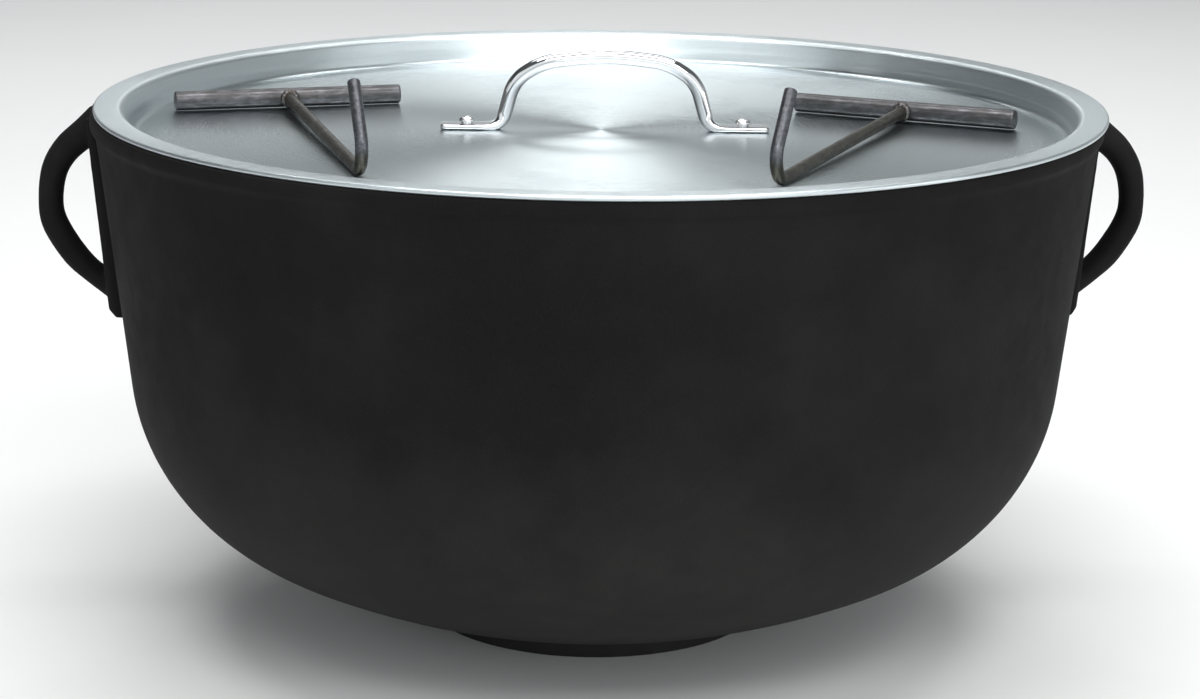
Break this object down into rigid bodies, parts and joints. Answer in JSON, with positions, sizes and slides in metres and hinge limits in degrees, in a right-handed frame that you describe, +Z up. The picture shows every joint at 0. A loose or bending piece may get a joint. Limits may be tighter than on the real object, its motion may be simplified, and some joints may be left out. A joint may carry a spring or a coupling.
{
  "type": "cast iron kettle with lid",
  "caption": "Round-bottomed black cast-iron kettle with side handles, a dished aluminium lid with a riveted rod handle, and loose T-handled lifting hooks in the lid.",
  "frame": {"origin": "centre of the foot's underside, on the floor", "axes": "+X through the right side handle, +Y away from the front, +Z up"},
  "size_m": [0.678, 0.61, 0.3569],
  "materials": {
    "kettle_iron": "matte black seasoned casting, fine grain",
    "handle_iron": "matte black casting",
    "lid_aluminium": "spun and lightly polished, fine circular lines",
    "handle_chrome": "bright plated round rod",
    "rivet_metal": "satin domed rivet heads",
    "hook_steel": "dark mill-scale bar with rubbed edges",
    "weld_steel": "dark rippled weld bead"
  },
  "bodies": {
    "kettle": {"kettle_body": "kettle_iron", "left_handle": "handle_iron", "right_handle": "handle_iron"},
    "lid": {"lid_pan": "lid_aluminium", "lid_handle": "handle_chrome", "lid_rivet_left": "rivet_metal", "lid_rivet_right": "rivet_metal"},
    "left_hook": {"left_hook_grip_bar": "hook_steel", "left_hook_rod": "hook_steel", "left_hook_weld": "weld_steel"},
    "right_hook": {"right_hook_grip_bar": "hook_steel", "right_hook_rod": "hook_steel", "right_hook_weld": "weld_steel"}
  },
  "joints": [
    {"name": "lid_lift", "type": "slide", "parent": "kettle", "child": "lid", "axis": [0, 0, 1], "range_m": [0, 0.25]},
    {"name": "left_hook_lift", "type": "slide", "parent": "lid", "child": "left_hook", "axis": [0, 0, 1], "range_m": [0, 0.15]},
    {"name": "right_hook_lift", "type": "slide", "parent": "lid", "child": "right_hook", "axis": [0, 0, 1], "range_m": [0, 0.15]}
  ]
}
